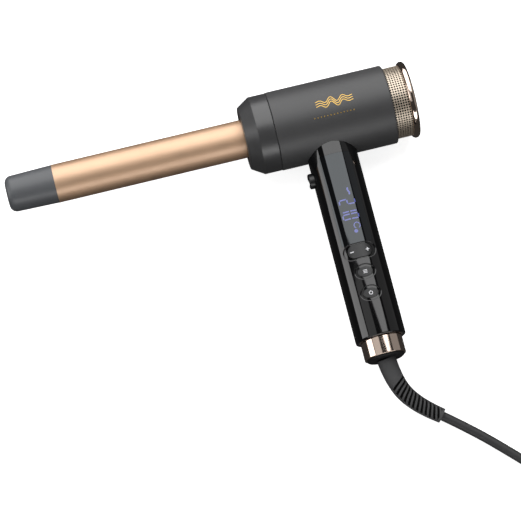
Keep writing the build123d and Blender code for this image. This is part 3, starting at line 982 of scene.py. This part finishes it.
class WAND_OT_strap_coil(bpy.types.Operator):
    """Wraps a strap round the wound turns of the cord."""

    bl_idname = "wand.strap_coil"
    bl_label = "Strap the coil"

    WIDTH = 0.011
    THICKNESS = 0.0007
    CORNER = 0.0032
    GAP = 0.0006
    ANGLE = 60

    def execute(self, context):
        low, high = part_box("cord_coil")
        centre = (low + high) / 2
        diameter = settings().cord.diameter
        middle = (high.x - low.x) / 2 - 2 * diameter
        wide, tall = 2 * diameter + self.GAP, high.z + self.GAP
        deselect()
        bpy.ops.mesh.primitive_plane_add(size=1, location=(0, 0, 0))
        strap = named("coil_strap")
        reshape(strap, lambda co: Vector((co.x * 2 * wide, 0, (co.y + 0.5) * tall)))
        edit(strap)
        bpy.ops.mesh.select_all(action="SELECT")
        bpy.ops.mesh.bevel(offset=self.CORNER, segments=6, affect="VERTICES")
        bpy.ops.mesh.select_all(action="SELECT")
        bpy.ops.mesh.delete(type="ONLY_FACE")
        bpy.ops.mesh.select_all(action="SELECT")
        bpy.ops.mesh.extrude_region_move(TRANSFORM_OT_translate={"value": (0, self.WIDTH, 0)})
        done()
        tidy_mesh(strap)
        stack(strap, "SOLIDIFY", thickness=self.THICKNESS, offset=-1)
        stack(strap, "BEVEL", width=0.0002, segments=2, limit_method="ANGLE")
        reshape(strap, lambda co: co + Vector((middle, -self.WIDTH / 2, 0)))
        turn = Matrix.Rotation(radians(self.ANGLE), 4, "Z")
        strap.data.transform(Matrix.Translation((centre.x, centre.y, 0)) @ turn)
        smooth(strap)
        fit_on(strap, "wand", hook_and_loop, ("cord_tie",))
        return {"FINISHED"}


class WAND_OT_perforate_sleeve(bpy.types.Operator):
    """Punches and rolls the perforated sleeve at the rear of the housing."""

    bl_idname = "wand.perforate_sleeve"
    bl_label = "Perforate the sleeve"

    CORNERS = 16
    BACKING_GAP = 0.0012
    BACKING_THICKNESS = 0.0008
    BACKING_MARGIN = 0.001

    def execute(self, context):
        sizes = settings().sleeve
        low, high = on_wand("grille_sleeve")
        radius = high.z
        mouth = on_wand("housing_shell")[1].x
        lip = on_wand("flange_ring")[0].x
        across = 2 * pi * radius / sizes.around
        sleeve = self.cell(sizes, across)
        for count, offset in ((sizes.columns, (sizes.pitch, 0, 0)), (sizes.around, (0, across, 0))):
            stack(
                sleeve, "ARRAY", count=count, use_relative_offset=False, use_constant_offset=True,
                constant_offset_displace=offset, use_merge_vertices=True, merge_threshold=0.00001)
        width = sizes.pitch * sizes.columns
        middle = (mouth + lip) / 2
        start = middle - width / 2
        reshape(sleeve, lambda co: co + Vector((start + sizes.pitch / 2, 0, 0)))
        edit(sleeve)
        for edge, end in ((start, low.x), (start + width, high.x)):
            choose(sleeve, lambda co: abs(co.x - edge) < 0.00002)
            bpy.ops.mesh.extrude_region_move(TRANSFORM_OT_translate={"value": (end - edge, 0, 0)})
        done()
        reshape(sleeve, wrap_on_housing(radius))
        tidy_mesh(sleeve, 0.00002)
        stack(sleeve, "SOLIDIFY", thickness=sizes.thickness, offset=-1)
        smooth(sleeve, 30)
        place_on_wand(sleeve)
        fit_on(sleeve, "wand", perforated_aluminium, ("grille_sleeve",))
        # the near-black tube inside the sleeve is painted shade for the holes
        self.shade_backing(radius - sizes.thickness - self.BACKING_GAP, low.x, high.x)
        return {"FINISHED"}

    def cell(self, sizes, across):
        """One square of sheet with a round hole in it."""
        deselect()
        bpy.ops.mesh.primitive_circle_add(
            vertices=self.CORNERS, radius=sizes.hole / 2, location=(0, 0, 0))
        cell = named("perforated_sleeve")
        bake_place(cell)
        edit(cell)
        bpy.ops.mesh.select_all(action="SELECT")
        bpy.ops.mesh.extrude_region_move(TRANSFORM_OT_translate={"value": (0, 0, 0)})
        done()
        for vertex in cell.data.vertices[self.CORNERS:]:
            reach = max(abs(vertex.co.x), abs(vertex.co.y))
            vertex.co.x *= sizes.pitch / 2 / reach
            vertex.co.y *= across / 2 / reach
        return cell

    def shade_backing(self, radius, start, end):
        """Near-black tube just inside the sleeve: painted shade seen through the holes."""
        near, far = start + self.BACKING_MARGIN, end - self.BACKING_MARGIN
        inner = radius - self.BACKING_THICKNESS
        shade_backing = turned_profile(
            "painted_shade_tube", [(near, radius), (far, radius), (far, inner), (near, inner)])
        smooth(shade_backing)
        place_on_wand(shade_backing)
        fit_on(shade_backing, "wand", painted_shade_backing)


class WAND_OT_light_display(bpy.types.Operator):
    """Lights the display: three digits, a unit sign, a heat sign and a dot."""

    bl_idname = "wand.light_display"
    bl_label = "Light the display"

    # places in millimetres, across the window and up from its lower end
    DIGITS = (6.6, 37.0)
    UNIT = (3.2, 14.0)
    DOT = (1.3, 9.4)
    HEAT = (3.4, 43.6)

    def execute(self, context):
        sizes = settings().display
        thick = sizes.proud
        window = on_wand("display_window")[0].y
        parts = []
        x, y = self.spot(self.DIGITS, window)
        for number, sign in enumerate("210"):
            parts += digit(sign, (x, y - sizes.pitch * number), sizes)
        unit = arc(self.spot(self.UNIT, window), 2.5 * MM, -60, 240)
        parts.append(stroke("unit", unit, 0.7 * MM, thick))
        dot = arc(self.spot(self.DOT, window), 0.85 * MM, 0, 342, 19)
        parts.append(stroke("dot", dot, 1.3 * MM, thick, True))
        heat = self.wave(self.spot(self.HEAT, window))
        parts.append(stroke("heat", heat, 1.3 * MM, thick))
        lit = join(parts, "display_segments")
        reshape(lit, wrap_on_handle(HANDLE_RADIUS))
        smooth(lit)
        place_on_wand(lit)
        fit_on(lit, "wand", lit_segment)
        return {"FINISHED"}

    def spot(self, place, window):
        """A place in millimetres from the window's lower end, in metres along the handle."""
        return place[0] * MM, window + place[1] * MM

    def wave(self, start, steps=18):
        """A short rising wave, the usual sign for heat."""
        return [
            (start[0] + 0.5 * MM * sin(2 * pi * i / steps), start[1] + (i / steps - 0.5) * 6.0 * MM)
            for i in range(steps + 1)
        ]


class WAND_OT_print_marks(bpy.types.Operator):
    """Prints the signs on the rocker, the mode button and the power button."""

    bl_idname = "wand.print_marks"
    bl_label = "Print the marks"

    CAPS = {"rocker": "rocker_button", "mode": "mode_button", "power": "power_button"}
    # places in millimetres from the middle of a cap
    SIGNS_AT = 6.6
    BARS_AT = (-1.1, 0, 1.1)

    def execute(self, context):
        thick = settings().display.proud
        centres = {}
        for body, node in self.CAPS.items():
            low, high = on_wand(node)
            centres[body] = (low.y + high.y) / 2
        x, y = self.SIGNS_AT * MM, centres["rocker"]
        half, width = 1.6 * MM, 0.7 * MM
        marks = [
            stroke("minus", line((-x - half, y), (half - x, y)), width, thick),
            stroke("plus", line((x, y + half), (x, y - half)), width, thick),
            stroke("plus_bar", line((x - half, y), (x + half, y)), width, thick * 1.1),
        ]
        self.apply(marks, "rocker_marks", "rocker")
        y = centres["mode"]
        bars = []
        for step in self.BARS_AT:
            height = y + step * MM
            bars.append(stroke("bar", line((-half, height), (half, height)), 0.5 * MM, thick))
        self.apply(bars, "mode_marks", "mode")
        y = centres["power"]
        ring = stroke("ring", arc((0, y), 1.35 * MM, -240, 60), 0.55 * MM, thick)
        bar = stroke("bar", line((0, y + 0.5 * MM), (0, y + 1.9 * MM)), 0.5 * MM, thick * 1.1)
        self.apply([ring, bar], "power_marks", "power")
        return {"FINISHED"}

    def apply(self, parts, name, body):
        marks = join(parts, name)
        reshape(marks, wrap_on_handle(CAP_RADIUS))
        smooth(marks)
        place_on_wand(marks)
        fit_on(marks, body, pad_print)


class WAND_OT_stamp_ornament(bpy.types.Operator):
    """Stamps the gold wave ornament on the housing."""

    bl_idname = "wand.stamp_ornament"
    bl_label = "Stamp the ornament"

    # places and sizes in millimetres, along the housing and round it
    WAVES = 3
    WAVE_TOP = 5.6
    WAVE_PITCH = 2.1
    WAVE_MIDDLE = 10
    WAVE_LENGTH = 31
    WAVE_SWING = 2.4
    DOTS = 13
    DOTS_FROM = -9.0
    DOTS_PITCH = 2.75
    DOTS_AT = -7.5

    def execute(self, context):
        thick = settings().display.proud
        parts = []
        for row in range(self.WAVES):
            height = (self.WAVE_TOP - self.WAVE_PITCH * row) * MM
            wave = self.wave(self.WAVE_MIDDLE * MM, height, self.WAVE_LENGTH * MM)
            parts.append(stroke("wave", wave, 0.55 * MM, thick))
        for i in range(self.DOTS):
            centre = ((self.DOTS_FROM + self.DOTS_PITCH * i) * MM, self.DOTS_AT * MM)
            parts.append(stroke("dot", arc(centre, 0.32 * MM, 0, 330, 11), 0.5 * MM, thick, True))
        ornament = join(parts, "wave_ornament")
        reshape(ornament, wrap_on_housing(HOUSING_RADIUS))
        smooth(ornament)
        place_on_wand(ornament)
        fit_on(ornament, "wand", hot_foil)
        return {"FINISHED"}

    def wave(self, middle, height, reach, steps=90):
        """A lock of hair as a wave that dies out at both ends."""
        points = []
        for i in range(steps + 1):
            share = i / steps
            swing = self.WAVE_SWING * MM * sin(pi * share)
            points.append((middle + (share - 0.5) * reach, height + swing * sin(6 * pi * share)))
        return points


class WAND_OT_finish_parts(bpy.types.Operator):
    """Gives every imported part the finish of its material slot."""

    bl_idname = "wand.finish_parts"
    bl_label = "Finish the parts"

    def execute(self, context):
        slots = {part["node"]: part["material_slot"] for part in frame["record"]["subparts"]}
        for name, node in frame["nodes"].items():
            coat(node, FINISHES[slots[name]])
        coat(frame["nodes"]["cord_gland"], gland_elastomer)
        return {"FINISHED"}


OPERATORS = [
    WAND_OT_set_stage,
    WAND_OT_lay_cord,
    WAND_OT_finish_parts,
    WAND_OT_mould_relief,
    WAND_OT_strap_coil,
    WAND_OT_perforate_sleeve,
    WAND_OT_light_display,
    WAND_OT_print_marks,
    WAND_OT_stamp_ornament,
]


class WAND_PT_panel(bpy.types.Panel):
    """Lists the wand's operators and settings."""

    bl_idname = "WAND_PT_panel"
    bl_label = "Curling Wand"
    bl_space_type = "VIEW_3D"
    bl_region_type = "UI"
    bl_category = "Curling Wand"

    def draw(self, context):
        layout = self.layout
        for operator in OPERATORS:
            layout.operator(operator.bl_idname)
        for group in ("sleeve", "relief", "cord", "display", "colours"):
            box = layout.box()
            box.label(text=group.title())
            for name in getattr(settings(), group).__annotations__:
                box.prop(getattr(settings(), group), name)


GROUPS = [WandColours, SleeveSizes, ReliefSizes, CordSizes, DisplaySizes, WandSettings]
CLASSES = [*GROUPS, *OPERATORS, WAND_PT_panel]


def register():
    for item in CLASSES:
        bpy.utils.register_class(item)
    bpy.types.Scene.curling_wand = PointerProperty(type=WandSettings)


def unregister():
    del bpy.types.Scene.curling_wand
    for item in reversed(CLASSES):
        bpy.utils.unregister_class(item)


def main():
    register()
    for operator in OPERATORS:
        group, name = operator.bl_idname.split(".")
        getattr(getattr(bpy.ops, group), name)()


if __name__ == "__main__":
    main()
